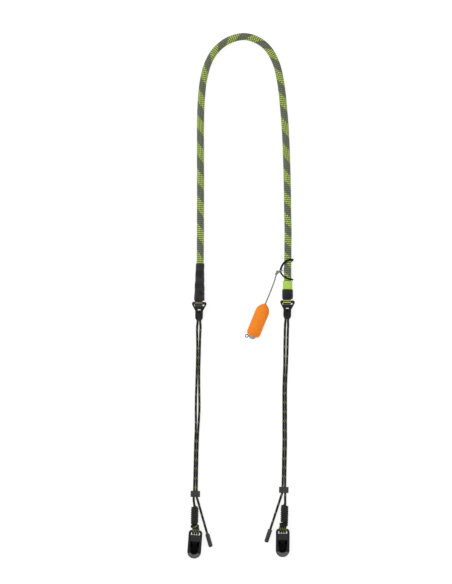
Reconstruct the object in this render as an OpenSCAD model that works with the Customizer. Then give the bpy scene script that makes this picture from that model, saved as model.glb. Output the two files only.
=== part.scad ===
// Rope shoulder strap: a kernmantle rope with two adjustable cord legs, each ending in a
// quick-link clip, and a small float tethered to the rope. It is laid out flat on a surface.
// X runs across the two legs, +Y runs from the clips towards the rope's top, Z = 0 is the surface.

/* [Rope] */
// Diameter of the shoulder rope
rope_d = 10; // [8:0.5:10.4]
// Outer diameter of both end sleeves at their ring end
sleeve_d = 14.8; // [14:0.2:18]
// Outer diameter of the long sleeve at its rope end
sleeve_neck_d = 12.2; // [12:0.2:13.8]
// Length of the long sleeve
long_sleeve_l = 52; // [45:1:60]
// Length of the short sleeve
short_sleeve_l = 14; // [12:1:16]
// Length of the coloured band above the short sleeve
band_l = 12; // [8:1:14]
// Outer diameter of the coloured band
band_d = 13.6; // [12:0.2:14.4]

/* [Rings] */
// Width of the rope end, flattened to a tape, that passes round the ring's bar
tape_w = 11; // [9:0.5:11.6]
// Thickness of that tape
tape_t = 1.6; // [1.2:0.1:1.8]
// Diameter of the ring's cross bar
bar_d = 3.8; // [3:0.1:4.4]
// Overall width of a ring
ring_w = 20.4; // [18:0.2:24]
// Length of a ring from its bar to its foot
ring_l = 24.8; // [22:0.2:28]
// Thickness of a ring's fork
fork_t = 6.4; // [6.2:0.1:8]
// Width of a ring's fork
fork_w = 10.8; // [10.6:0.1:13]
// Diameter of the pin that the leg cord turns round
pin_d = 1.6; // [1.2:0.1:2]

/* [Legs] */
// Diameter of the leg cord
cord_d = 3.3; // [2.6:0.1:3.4]
// Distance from the ring's bar to the clip's bar
leg_l = 319.5; // [265:1:400]
// Length of the wrapped knot
knot_l = 27.2; // [20:0.4:34]
// Turns in the wrapped knot
knot_turns = 8; // [5:1:9]
// Width of the cord lock
lock_w = 13.4; // [10.4:0.2:15]
// Height of the cord lock along the cord
lock_l = 8.2; // [6:0.2:11]
// Thickness of the cord lock
lock_t = 5.6; // [5.2:0.1:7]
// Distance from the lock's middle to the top of the knot
lock_gap = 17; // [12:0.5:20]
// Loose end of the cord below the lock
tail_l = 73; // [60:1:90]
// Diameter of the cord end
cord_end_d = 6; // [5:0.1:8]
// Length of the cord end
cord_end_l = 19; // [14:1:24]

/* [Clips] */
// Width of a clip
clip_w = 19.2; // [18.4:0.2:25]
// Length of a clip
clip_l = 40; // [38:0.5:48]
// Thickness of a clip
clip_t = 9.8; // [9.4:0.1:12]
// Diameter of the bar that the cord loops round
clip_bar_d = 2.8; // [2.6:0.1:3.6]
// Width of the slot beside that bar
clip_slot_w = 12.4; // [11:0.2:13]
// Width of the socket's mouth
mouth_w = 12.6; // [11:0.2:13]
// Thickness of the locking tongue
tongue_t = 1.4; // [1:0.1:1.6]
// Diameter of the tongue's pin
tongue_pin_d = 1.6; // [1.2:0.1:2]

/* [Float] */
// Diameter of the loop cord hitched round the rope
hitch_d = 2.2; // [1.8:0.1:2.4]
// Diameter of the tether
tether_d = 2; // [1.6:0.1:2.4]
// Diameter of the float
float_d = 19.6; // [16:0.4:24]
// Length of the float
float_l = 48.5; // [40:0.5:60]
// Diameter of the float's end cap
cap_d = 10; // [8:0.5:11]
// Cord diameter of the float's pull loop
pull_d = 0.9; // [0.7:0.1:1.1]
// Mean diameter of the float's pull loop
pull_loop_d = 4; // [3.4:0.2:4.6]

/* [Hidden] */
$fn = 48;

fit = 0.1;           // sliding clearance on a radius
swing = 0.2;         // clearance on a radius where cord or tape turns round a bar
rope_sides = 12;     // sides of the rope's tube
cord_sides = 8;      // sides of a thin cord's tube
rope_r = rope_d / 2;
cord_r = cord_d / 2;
axis_z = sleeve_d / 2;       // height of the sleeves' axis, so that they lie on the surface

// Where each side's ring bar lies, how its sleeve and its leg are turned, and which way its tail goes.
left_bar = [-58.3, 150.95];
right_bar = [65.2, 153];
left_sleeve_turn = -1.2;
right_sleeve_turn = -0.4;
left_leg_turn = -1.2;
right_leg_turn = -1.1;
left_clip_turn = -3;
right_clip_turn = 0.6;
left_knot_shift = -0.3;
right_knot_shift = 1.5;
left_clip_shift = 1.65;
right_clip_shift = -0.5;
left_collar_shift = -1.7;
right_collar_shift = 1.2;

// Rope ends, measured from the ring's bar along the sleeve.
sleeve_gap = 3.4;            // from the bar's centre to the sleeve
long_rope_end = 25;
short_rope_end = 15;
tape_shift = -0.8;           // the tape lies a little to one side on the bar
tape_r = bar_d / 2 + swing + tape_t;
stem_t = 4.4;                // thickness of the doubled tape in the sleeve

// Ring.
ring_tilt = asin((axis_z - fork_t / 2 - fit) / ring_l);
arm_t = 5.2;
corner_r = 2.6;
slot_half = ring_w / 2 - 3.2;
web_y = -(tape_r + 0.3);
turn_r = pin_d / 2 + fit + cord_r;       // centreline radius of the cord round the pin
channel_t = cord_d + 4 * fit;
pin_y = -(ring_l - 10.6);
window_w = 3.7;
window_top = web_y - 4.3;
window_foot = pin_y + pin_d / 2 + 0.6;

// Leg.
strand_x = cord_r + 0.05;        // half the distance between the two strands above the lock
spread = 0.4;                    // how much further apart they leave the lock
bore_z = lock_t / 2;             // height of the strands in the lock
knot_r = cord_r * 3 + 0.3;       // a core of one cord, wrapped with another
knot_foot = leg_l - 9.5;         // distance from the ring's bar to the foot of the knot
knot_top = knot_foot - knot_l;
knot_pitch = knot_l / (knot_turns + 0.6);
knot_bead_r = min(cord_r, knot_pitch * 0.54);
// The two locks are slid to different places on their cords.
left_lock_at = knot_top - lock_gap + 1.7;
right_lock_at = knot_top - lock_gap - 1.9;
tail_angle = 17;
loop_r = clip_bar_d / 2 + swing + cord_r;

// Clip, measured from the bar that the cord loops round.
clip_top_r = 2;
bar_end_l = clip_slot_w / 2 - (cord_d + 0.2 + cord_r) - 0.35;
clip_round = clip_w / 2;
clip_foot = clip_top_r - clip_l;
round_y = clip_foot + clip_round;
slot_foot = -(clip_bar_d / 2 + swing + cord_d + 0.2);
face_top = slot_foot - 1;
face_l = 7.2;
face_t = 1;
mouth_top = face_top - face_l - 0.8;
seat_y = round_y + 2;
mouth_foot_w = mouth_w - 1.8;
cavity_w = mouth_w + 0.6;
cavity_top = face_top - 3.4;
cavity_front = clip_t / 2 - 2.7;
cavity_floor = 1 - clip_t / 2;
seat_floor = cavity_front - 2.6;         // where the disc in the socket rests
seat_top = seat_y + mouth_w / 2;         // the upper edge of that disc
knuckle_r = tongue_pin_d / 2 + 1;
hinge_y = mouth_top + 1.4;
hinge_z = cavity_front - knuckle_r - 0.2;
tongue_w = 8.4;
tongue_l = hinge_y - seat_top - 0.2;

// Float and tether.
hitch_r = hitch_d / 2;
tether_r = tether_d / 2;
hitch_along = 43.5;          // from the ring's bar along the rope
hitch_at = [right_bar[0] - hitch_along * sin(right_sleeve_turn), right_bar[1] + hitch_along, axis_z];
apex = [-10, 0, 1.2];                    // where the tether's loop sits on the hitch
eye_r = hitch_r + swing + tether_r + fit;
ball = [-14.4, -2.2, 1.2];
ball_r = 2.2;
float_tip = [34.2, 150];
float_turn = -22;
dome_l = 12;
foot_l = 6;
foot_r = cap_d / 2 + 1;
cap_hole = 4;
cap_out = 4.2;
lug_r = cap_d / 2 + 0.3;                 // from the float's axis to the hole in the cap's lug
lug_y = -(float_l + 0.6 + pull_loop_d / 2);
lug_t = 1.2;

// The rope's route: x, y and how much higher its middle is than where it lies on the surface. Its two
// ends lie on their sleeves' axes.
function sleeve_point(bar, turn, along) =
    [bar[0] - along * sin(turn), bar[1] + along * cos(turn), axis_z - rope_r];
rope_route = concat(
    [for (along = [long_rope_end, 40, sleeve_gap + long_sleeve_l + 0.5])
        sleeve_point(left_bar, left_sleeve_turn, along)],
    [[-56.9, 222, 1.7], [-56.7, 245, 0.6],
    [-56.7, 270, 0], [-56.6, 300, 0], [-56.6, 330, 0], [-56.7, 360, 0], [-56.7, 388, 0], [-56.4, 415, 0],
    [-55.2, 440, 0], [-52.5, 463, 0], [-46.5, 486, 0], [-35.5, 505, 0], [-18.5, 518.5, 0], [3, 524.5, 0],
    [23, 519.5, 0], [38.5, 507, 0], [49, 488, 0], [54.5, 467, 0], [57.8, 445, 0], [60.2, 420, 0],
    [62.2, 394, 0], [63.4, 368, 0], [64.3, 342, 0], [64.9, 318, 0.3], [65.2, 296, 1.2], [65.4, 274, 2.1]],
    [for (along = [102, 77, 52, short_rope_end]) sleeve_point(right_bar, right_sleeve_turn, along)]
);

// A strand's route below the ring: how far the leg's middle is to one side, extra distance from that
// middle, and distance from the bar.
left_main_upper = [[0, 0.7, 34], [0, 0.4, 46], [0.2, 0.1, 60], [0.2, 0, 78], [0.1, 0, 96], [0.2, 0.2, 114],
    [0.5, 0.7, 132], [0.9, 1, 148], [0.8, 0.5, 164], [0.4, 0, 180], [0.1, 0, 196]];
left_tail_upper = [[0, 0.7, 34], [0, 0.4, 46], [0.2, 0.1, 60], [0.2, 0, 78], [0.1, 0, 96], [0.2, 0.3, 114],
    [0.5, 0.6, 132], [0.9, 0.6, 148], [0.8, 0.3, 164], [0.4, 0, 180], [0.1, 0, 196]];
right_main_upper = [[-0.6, 0.5, 34], [-0.8, 0.5, 46], [-0.8, 0.5, 60], [-0.7, 0.3, 74], [-0.8, 0.1, 90],
    [-1.2, 0, 106], [-1.4, 0, 124], [-1.1, 0, 142], [-0.7, 0, 160], [-0.4, 0, 178], [0, 0, 196]];
right_tail_upper = [[-0.6, 0.4, 34], [-0.8, 0.3, 46], [-0.8, 0.3, 60], [-0.7, 0.3, 74], [-0.8, 0.1, 90],
    [-1.2, 0, 106], [-1.4, 0, 124], [-1.1, 0, 142], [-0.7, 0, 160], [-0.4, 0, 178], [0, 0, 196]];

// The hitch's route round the rope, from the rope's axis at the height of the tether's loop.
hitch_route = [
    [-10, 0.01, 1.2], [-10, 1.1, 1.2], [-9.3, 3.6, 2.2], [-7.6, 7.6, 3.4], [-4.7, 11.4, 5], [0, 14.2, 6.4],
    [4.8, 15.2, 4.6], [7, 15.2, 0], [4.9, 13.4, -4.6], [0, 9.4, -6.25], [-3.3, 4.9, -5.7], [-4.3, 1.6, -5.1],
    [-4.3, -1.6, -5.1], [-3.3, -4.8, -5.7], [0, -8.8, -6.25], [4.9, -11.6, -4.6], [7, -12.7, 0],
    [4.9, -12.4, 4.5], [1, -11.4, 6.4], [-3.2, -9.8, 5.7], [-6.7, -7.2, 3.8], [-9.3, -3.6, 2.2],
    [-10, -1.1, 1.2], [-10, -0.01, 1.2]
];

// The tether's route from its knot to the float, x, y and height above the surface, and then down the
// float's own axis.
tether_route = concat(
    [[49.9, 191.9, 8.3], [48.6, 187.8, 7.8], [46.5, 181, 7.4], [43.6, 173.2, 7.6], [40.6, 165.4, 8.5],
     [37.8, 158.8, 9.4]],
    [for (along = [3, -4])
        [float_tip[0] - along * sin(float_turn), float_tip[1] + along * cos(float_turn), float_d / 2]]
);

// --- Tubes swept along a route ---

function unit(v) = v / norm(v);

// A point on the smooth curve between b and c, whose neighbours are a and d.
function curve_point(a, b, c, d, t) =
    b + (c - a) * t / 2 + (2 * a - 5 * b + 4 * c - d) * t * t / 2 + (3 * b - a - 3 * c + d) * t * t * t / 2;

// The route with that many steps between its points.
function smooth_route(route, steps) = [
    for (i = [0:len(route) - 2]) for (j = [0:steps - 1])
        curve_point(route[max(i - 1, 0)], route[i], route[i + 1], route[min(i + 2, len(route) - 1)], j / steps),
    route[len(route) - 1]
];

function tangent_at(line, i) = unit(line[min(i + 1, len(line) - 1)] - line[max(i - 1, 0)]);

// One side direction for each ring, carried along the line without twist.
function carried(side, tangent) = unit(side - (side * tangent) * tangent);
function sides_along(line, side, i = 0) =
    i == len(line) ? [] :
    let (here = carried(side, tangent_at(line, i))) concat([here], sides_along(line, here, i + 1));

module tube(line, r, count) {
    rings = len(line);
    first = cross(tangent_at(line, 0), [0.1, 0.2, 1]);
    sides = sides_along(line, first);
    points = [
        for (i = [0:rings - 1]) let (out = sides[i], up = cross(tangent_at(line, i), out))
            for (k = [0:count - 1]) line[i] + r * (cos(360 * k / count) * out + sin(360 * k / count) * up)
    ];
    walls = [
        for (i = [0:rings - 2]) for (k = [0:count - 1]) let (next = (k + 1) % count)
            each [[i * count + k, (i + 1) * count + k, (i + 1) * count + next],
                  [i * count + k, (i + 1) * count + next, i * count + next]]
    ];
    start_cap = [for (k = [1:count - 2]) [0, k, k + 1]];
    last = (rings - 1) * count;
    end_cap = [for (k = [1:count - 2]) [last, last + k + 1, last + k]];
    polyhedron(points = points, faces = concat(walls, start_cap, end_cap));
}

// --- Places ---

module at_sleeve(bar, turn) translate([bar[0], bar[1], axis_z]) rotate([0, 0, turn]) children();
module at_leg(bar, turn) translate([bar[0], bar[1], 0]) rotate([0, 0, turn]) children();
module at_ring(bar, turn) at_leg(bar, turn) translate([0, 0, axis_z]) rotate([ring_tilt, 0, 0]) children();
module at_clip(bar, turn, shift, clip_turn)
    at_leg(bar, turn) translate([shift, -leg_l, knot_r]) rotate([0, 0, clip_turn]) children();
module in_left_sleeve() at_sleeve(left_bar, left_sleeve_turn) children();
module in_left_ring() at_ring(left_bar, left_leg_turn) children();
module in_left_leg() at_leg(left_bar, left_leg_turn) children();
module in_left_clip() at_clip(left_bar, left_leg_turn, left_clip_shift, left_clip_turn) children();
module in_right_sleeve() at_sleeve(right_bar, right_sleeve_turn) children();
module in_right_ring() at_ring(right_bar, right_leg_turn) children();
module in_right_leg() at_leg(right_bar, right_leg_turn) children();
module in_right_clip() at_clip(right_bar, right_leg_turn, right_clip_shift, right_clip_turn) children();
module at_float()
    translate([float_tip[0], float_tip[1], float_d / 2]) rotate([0, 0, float_turn]) children();

// A revolved solid along +Y, from an outline of [radius, distance] points.
module turned(outline) rotate([-90, 0, 0]) rotate_extrude() polygon(outline);
module rod_x(r, length) rotate([0, 90, 0]) cylinder(r = r, h = length, center = true);
module rod_y(r, length) rotate([-90, 0, 0]) cylinder(r = r, h = length);
module block(low, high) translate(low) cube(high - low);

// --- Rope, sleeves and rope ends ---

module shoulder_rope() color("yellowgreen")
    tube([for (p = rope_route) [p[0], p[1], rope_r + p[2]]], rope_r, rope_sides);

// The hole in a sleeve: round for the rope, flat for the doubled tape.
module sleeve_hole(rope_end, length) {
    translate([0, rope_end, 0]) rod_y(rope_r + fit / 2, length);
    block([tape_shift - tape_w / 2 - fit, 0, -stem_t / 2 - fit],
          [tape_shift + tape_w / 2 + fit, rope_end + fit, stem_t / 2 + fit]);
}

module long_sleeve() color("dimgray") difference() {
    r = sleeve_d / 2;
    neck = sleeve_neck_d / 2;
    foot = sleeve_gap;
    top = sleeve_gap + long_sleeve_l;
    turned([[0, foot], [r - 0.8, foot], [r, foot + 1.2], [r, foot + 6], [(r + neck) / 2 + 0.2, foot + 20],
            [neck + 0.3, top - 14], [neck, top - 4], [neck - 0.4, top - 1], [neck - 0.8, top], [0, top]]);
    sleeve_hole(long_rope_end, long_sleeve_l);
}

module short_sleeve() color("dimgray") difference() {
    r = sleeve_d / 2;
    foot = sleeve_gap;
    top = sleeve_gap + short_sleeve_l;
    turned([[0, foot], [r - 0.8, foot], [r, foot + 1], [r, top - 1], [r - 0.5, top], [0, top]]);
    sleeve_hole(short_rope_end, short_sleeve_l);
}

module band() color("greenyellow") difference() {
    r = band_d / 2;
    foot = sleeve_gap + short_sleeve_l;
    top = foot + band_l;
    turned([[0, foot], [r, foot], [r, top - 1.2], [r - 1, top], [0, top]]);
    translate([0, foot - 1, 0]) rod_y(rope_r + fit / 2, band_l + 2);
}

// The rope's sheath, flattened and doubled round the ring's bar, with its stem in the sleeve.
module rope_end(stem_l) color("olivedrab") difference() {
    translate([tape_shift, 0, 0]) union() {
        rod_x(tape_r, tape_w);
        block([-tape_w / 2, 0, -stem_t / 2], [tape_w / 2, stem_l, stem_t / 2]);
    }
    rod_x(bar_d / 2 + swing, ring_w);
}

// --- Ring: a bar for the rope end, and a fork with a pin for the leg cord ---

module ring_outline() {
    shoulder = ring_w / 2 - corner_r;
    for (side = [-1, 1]) translate([side * shoulder, -0.8]) circle(r = corner_r);
    polygon([[-ring_w / 2 + 0.1, -1.5], [-fork_w / 2, -10.5], [-fork_w / 2, fork_w / 2 - ring_l],
             [fork_w / 2, fork_w / 2 - ring_l], [fork_w / 2, -10.5], [ring_w / 2 - 0.1, -1.5],
             [shoulder, 1.8], [-shoulder, 1.8]]);
}

module fork_outline() {
    translate([0, fork_w / 2 - ring_l]) circle(r = fork_w / 2);
    translate([-fork_w / 2, fork_w / 2 - ring_l]) square([fork_w, ring_l - fork_w / 2 - 9]);
}

module ring() color("#202020") {
    difference() {
        union() {
            linear_extrude(arm_t, center = true) ring_outline();
            linear_extrude(fork_t, center = true) fork_outline();
        }
        block([-slot_half, web_y, -arm_t], [slot_half, corner_r + 1, arm_t]);
        block([-window_w / 2, window_foot, -fork_t], [window_w / 2, window_top, fork_t]);
        // The channel is closed at its sides down to just above the pin, and open below it.
        block([-turn_r - cord_r - 2 * fit, pin_y - 1, -channel_t / 2],
              [turn_r + cord_r + 2 * fit, pin_y + turn_r + cord_r + 0.6, channel_t / 2]);
        block([-fork_w, -ring_l - 1, -channel_t / 2], [fork_w, pin_y + 1.5, channel_t / 2]);
        translate([0, pin_y, 0]) cylinder(r = pin_d / 2, h = 2 * fork_t, center = true);
    }
    rod_x(bar_d / 2, 2 * slot_half + 1);
}

module ring_pin() color("silver")
    translate([0, pin_y, 0]) cylinder(r = pin_d / 2, h = fork_t, center = true);

// --- Leg cord: its turn round the pin, two strands, the wrapped knot and the loops round the clip ---

module cord_turn() color("#2b2e22")
    translate([0, pin_y, 0]) rotate_extrude(angle = 180) translate([turn_r, 0]) circle(r = cord_r);

// The first points of a strand, which comes close to the other one at the fork's foot, and then its
// route down to the lock's lower side.
function fork_point(x, y) = [x, y * cos(ring_tilt), axis_z + y * sin(ring_tilt)];
function strand_top(side, upper, lock_at) = concat(
    [fork_point(side * turn_r, pin_y), fork_point(side * turn_r, pin_y - 2)],
    [fork_point(upper[0][0] / 2 + side * (strand_x + 0.1), -ring_l - 1)],
    [for (p = upper) [p[0] + side * (strand_x + p[1]), -p[2], bore_z]],
    [for (y = [lock_at - 44, lock_at - 22]) [side * strand_x, -y, bore_z]],
    [[side * (strand_x + spread * 0.4), -lock_at, bore_z],
     [side * (strand_x + spread), -lock_at - lock_l / 2, bore_z]]
);

module main_strand(side, upper, lock_at, knot_shift) color("#2b2e22")
    tube(concat(strand_top(side, upper, lock_at),
        [[side * (strand_x + spread), -knot_top + 7, bore_z + (knot_r - bore_z) * 0.4],
         [knot_shift + side * 0.8, -knot_top, knot_r - 0.6]]),
        cord_r, cord_sides);

// The tail leaves the lock at an angle and lies on the surface as far as its cord end.
tail_foot = tail_l - cord_end_l;
function tail_point(side, lock_at, along, z) =
    [side * (strand_x + spread + along * sin(tail_angle)),
     -(lock_at + lock_l / 2 + along * cos(tail_angle)), z];
module tail_strand(side, upper, lock_at) color("#2b2e22")
    tube(concat(strand_top(side, upper, lock_at),
        [for (p = [[0.15, 0], [0.4, 0], [0.65, 0], [0.85, 0.6]])
            tail_point(side, lock_at, p[0] * tail_foot, bore_z + (cord_end_d / 2 - bore_z) * p[1])],
        [for (along = [tail_foot, tail_foot + 5]) tail_point(side, lock_at, along, cord_end_d / 2)]),
        cord_r, cord_sides);

module cord_end(side, lock_at) color("#3a3a3a") {
    r = cord_end_d / 2;
    translate(tail_point(side, lock_at, tail_foot, r)) rotate([0, 0, 180 + side * tail_angle]) difference() {
        turned([[0, 0], [r - 0.5, 0], [r, 0.6], [r, cord_end_l - 1.6], [r - 0.5, cord_end_l - 0.6],
                [r - 1.6, cord_end_l], [0, cord_end_l]]);
        translate([0, -1, 0]) rod_y(cord_r + fit / 2, 6 + fit);
    }
}

module knot(shift) color("#1c1e18") {
    pitch = knot_pitch;
    translate([shift, -knot_foot, knot_r]) rotate([-90, 0, 0]) rotate_extrude() {
        translate([0, pitch * 0.3]) square([knot_r - cord_r * 0.6, knot_l - pitch * 1.1]);
        intersection() {
            square([knot_r, knot_l]);
            for (i = [0:knot_turns - 1])
                translate([knot_r - cord_r, pitch * (i + 0.6)]) circle(r = knot_bead_r);
        }
        polygon([[0, knot_l - pitch], [knot_r - cord_r * 0.7, knot_l - pitch], [cord_r + 0.8, knot_l],
                 [0, knot_l]]);
    }
}

// Three loops side by side round the clip's bar, and the collar in which they leave the knot.
module clip_loop(collar_shift) color("#1c1e18") {
    collar_r = knot_r + 0.6;
    collar_foot = loop_r + cord_r * 0.6;
    // The collar's top takes in the foot of the knot's lowest turn.
    collar_top = leg_l - knot_foot + knot_pitch * 0.6 - knot_bead_r + 0.15;
    for (i = [-1:1]) translate([i * (cord_d + 0.2), 0, 0]) rotate([0, 90, 0])
        rotate_extrude() translate([loop_r, 0]) circle(r = cord_r);
    translate([collar_shift, 0, 0])
        turned([[0, collar_foot], [collar_r - 1.4, collar_foot], [collar_r, collar_foot + 1.6],
                [collar_r, collar_top - 1.6], [collar_r - 1.4, collar_top], [0, collar_top]]);
}

module lock(lock_at) color("#2e2e2e") {
    corner = 1.6;
    translate([0, -lock_at - lock_l / 2, bore_z]) rotate([90, 0, 0]) mirror([0, 0, 1])
        linear_extrude(lock_l) difference() {
            union() {
                for (x = [-1, 1]) for (z = [-1, 1])
                    translate([x * (lock_w / 2 - corner), z * (lock_t / 2 - corner)]) circle(r = corner);
                square([lock_w - 2 * corner, lock_t], center = true);
                square([lock_w, lock_t - 2 * corner], center = true);
            }
            for (x = [-1, 1]) translate([x * (strand_x + spread), 0]) circle(r = cord_r + 1.5 * fit);
            square([2 * (strand_x + spread), cord_d + 3 * fit], center = true);
        }
}

// --- Clip: a housing with a bar, a socket, a face plate and a sprung tongue on a pin ---

module clip_outline() {
    top_r = 5;
    translate([0, round_y]) circle(r = clip_round);
    translate([-clip_w / 2, round_y]) square([clip_w, clip_top_r - top_r - round_y]);
    for (side = [-1, 1]) translate([side * (clip_w / 2 - top_r), clip_top_r - top_r]) circle(r = top_r);
    translate([top_r - clip_w / 2, 0]) square([clip_w - 2 * top_r, clip_top_r]);
    translate([top_r - clip_w / 2, round_y]) square([clip_w - 2 * top_r, -round_y]);
}

// The clip seen from its side: thin and round at the bar, flat at its back.
module clip_profile() {
    half = clip_t / 2;
    circle(r = clip_top_r);
    polygon([[0, clip_top_r], [-7, half], [clip_foot + 8, half], [clip_foot, half - 2.4],
             [clip_foot, -half], [-7, -half], [0, -clip_top_r]]);
}

module stadium(width, top, foot_r, foot_y) {
    translate([0, foot_y]) circle(r = foot_r);
    translate([-width / 2, foot_y]) square([width, top - foot_y]);
}

module clip_housing() color("#161616") difference() {
    union() {
        difference() {
            intersection() {
                linear_extrude(clip_t + 2, center = true) clip_outline();
                rotate([0, 90, 0]) rotate([0, 0, 90]) linear_extrude(clip_w + 2, center = true) clip_profile();
            }
            block([-clip_slot_w / 2, slot_foot, -clip_t], [clip_slot_w / 2, clip_top_r + 1, clip_t]);
        }
        rod_x(clip_bar_d / 2, clip_slot_w + 1);
        // The bar is thicker at its ends, beside the cord's loops.
        for (side = [-1, 1]) translate([side * (clip_slot_w / 2 - bar_end_l / 2 + 0.2), -0.7, 0])
            cube([bar_end_l + 0.4, clip_bar_d, clip_bar_d], center = true);
    }
    // Cavity, deep behind the tongue and shallow where a disc seats, then the mouth in front of it:
    // wide where the disc goes in, narrow where it seats.
    translate([0, 0, seat_floor]) linear_extrude(cavity_front - seat_floor)
        stadium(cavity_w, cavity_top, cavity_w / 2, seat_y);
    block([-cavity_w / 2, seat_top, cavity_floor], [cavity_w / 2, cavity_top, cavity_front]);
    linear_extrude(clip_t) stadium(mouth_foot_w, mouth_top, mouth_foot_w / 2, seat_y);
    block([-mouth_w / 2, seat_y + 3.4, 0], [mouth_w / 2, mouth_top, clip_t]);
    block([-mouth_w / 2, face_top - face_l, clip_t / 2 - face_t], [mouth_w / 2, face_top, clip_t]);
    translate([0, hinge_y, hinge_z]) rod_x(tongue_pin_d / 2, cavity_w + 3);
}

module clip_face() color("#333333")
    block([fit - mouth_w / 2, face_top - face_l + fit, clip_t / 2 - face_t],
          [mouth_w / 2 - fit, face_top - fit, clip_t / 2]);

module clip_tongue() color("#0c0c0c") translate([0, hinge_y, hinge_z]) difference() {
    union() {
        rod_x(knuckle_r, tongue_w);
        block([-tongue_w / 2, tongue_w / 2 - tongue_l, -tongue_t / 2], [tongue_w / 2, 0, tongue_t / 2]);
        translate([0, tongue_w / 2 - tongue_l, 0]) cylinder(r = tongue_w / 2, h = tongue_t, center = true);
    }
    rod_x(tongue_pin_d / 2 + fit / 2, tongue_w + 1);
}

module tongue_pin() color("silver") translate([0, hinge_y, hinge_z]) rod_x(tongue_pin_d / 2, cavity_w + 3);

// --- Hitch, tether and float ---

module hitch_loop() color("#111111")
    translate(hitch_at) tube(smooth_route(hitch_route, 2), hitch_r, cord_sides);

// The tether's loop round the hitch, and its knot.
module tether_knot() color("darkgray") translate(hitch_at) {
    translate(apex) rotate([90, 0, 0]) rotate_extrude() translate([eye_r, 0]) circle(r = tether_r);
    translate(ball) sphere(r = ball_r);
}

module tether_cord() color("darkgray") tube(tether_route, tether_r, cord_sides);

module float_body() color("darkorange") difference() {
    r = float_d / 2;
    dome = [for (a = [10:10:90]) [1.6 + (r - 1.6) * pow(sin(a), 1.7), -dome_l * (1 - cos(a))]];
    foot = [for (a = [0:15:90]) [foot_r + (r - foot_r) * cos(a), -(float_l - foot_l) - foot_l * sin(a)]];
    turned(concat([[0, 0]], dome, foot, [[0, -float_l]]));
    translate([0, -float_l - 1, 0]) rod_y(cap_d / 2 + fit / 2, cap_hole + 1);
    translate([0, -float_l + cap_hole - 1, 0]) rod_y(tether_r + fit, float_l);
}

module float_cap() color("lightsteelblue") {
    r = cap_d / 2;
    difference() {
        turned([[0, -float_l + cap_hole], [r, -float_l + cap_hole], [r, -float_l - 1.4],
                [r - 1, -float_l - 2.8], [r - 2.6, -float_l - cap_out], [0, -float_l - cap_out]]);
        translate([0, -float_l + cap_hole - 2, 0]) rod_y(tether_r + fit, 4);
    }
    // The lug has the pull loop's hole through it.
    difference() {
        block([-lug_r - 1.2, lug_y - lug_t / 2, -1.4], [2 - r, lug_y + lug_t / 2, 1.4]);
        translate([-lug_r, lug_y - lug_t, 0]) rod_y(pull_d / 2 + fit, 2 * lug_t);
    }
}

module pull_loop() color("dimgray")
    translate([-lug_r - pull_loop_d / 2, lug_y, 0])
        rotate_extrude() translate([pull_loop_d / 2, 0]) circle(r = pull_d / 2);

module left_main_strand() in_left_leg() main_strand(-1, left_main_upper, left_lock_at, left_knot_shift);
module left_tail_strand() in_left_leg() tail_strand(1, left_tail_upper, left_lock_at);
module right_main_strand() in_right_leg() main_strand(1, right_main_upper, right_lock_at, right_knot_shift);
module right_tail_strand() in_right_leg() tail_strand(-1, right_tail_upper, right_lock_at);

// --- Nodes ---

shoulder_rope();
in_left_sleeve() long_sleeve();  // left_sleeve
in_left_sleeve() rope_end(long_rope_end);  // left_rope_end
in_right_sleeve() short_sleeve();  // right_sleeve
in_right_sleeve() band();  // right_band
in_right_sleeve() rope_end(short_rope_end);  // right_rope_end

in_left_ring() ring();  // left_ring
in_left_ring() ring_pin();  // left_ring_pin
in_left_ring() cord_turn();  // left_cord_turn
left_main_strand();
left_tail_strand();
in_left_leg() cord_end(1, left_lock_at);  // left_cord_end
in_left_leg() knot(left_knot_shift);  // left_knot
in_left_clip() clip_loop(left_collar_shift);  // left_clip_loop
in_left_leg() lock(left_lock_at);  // left_lock
in_left_clip() clip_housing();  // left_clip_housing
in_left_clip() clip_face();  // left_clip_face
in_left_clip() clip_tongue();  // left_clip_tongue
in_left_clip() tongue_pin();  // left_tongue_pin

in_right_ring() ring();  // right_ring
in_right_ring() ring_pin();  // right_ring_pin
in_right_ring() cord_turn();  // right_cord_turn
right_main_strand();
right_tail_strand();
in_right_leg() cord_end(-1, right_lock_at);  // right_cord_end
in_right_leg() knot(right_knot_shift);  // right_knot
in_right_clip() clip_loop(right_collar_shift);  // right_clip_loop
in_right_leg() lock(right_lock_at);  // right_lock
in_right_clip() clip_housing();  // right_clip_housing
in_right_clip() clip_face();  // right_clip_face
in_right_clip() clip_tongue();  // right_clip_tongue
in_right_clip() tongue_pin();  // right_tongue_pin

hitch_loop();
tether_knot();
tether_cord();
at_float() float_body();
at_float() float_cap();
at_float() pull_loop();
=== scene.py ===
import math

import bmesh
import bpy
from mathutils import Matrix, Vector, noise


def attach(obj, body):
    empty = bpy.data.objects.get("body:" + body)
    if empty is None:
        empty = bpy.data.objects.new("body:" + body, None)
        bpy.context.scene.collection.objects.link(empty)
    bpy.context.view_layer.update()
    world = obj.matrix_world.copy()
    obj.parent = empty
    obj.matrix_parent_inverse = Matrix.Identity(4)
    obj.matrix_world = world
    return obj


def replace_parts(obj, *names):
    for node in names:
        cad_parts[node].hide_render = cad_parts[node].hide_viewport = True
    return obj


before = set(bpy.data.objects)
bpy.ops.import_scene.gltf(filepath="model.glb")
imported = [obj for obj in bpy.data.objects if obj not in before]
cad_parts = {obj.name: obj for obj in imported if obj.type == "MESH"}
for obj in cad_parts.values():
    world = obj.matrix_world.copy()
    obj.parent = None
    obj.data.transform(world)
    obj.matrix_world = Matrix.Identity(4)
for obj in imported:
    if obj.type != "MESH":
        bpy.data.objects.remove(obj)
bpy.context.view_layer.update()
MM = 0.001

# --- Sizes that the routes share with the CAD, in millimetres and degrees ---

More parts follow.
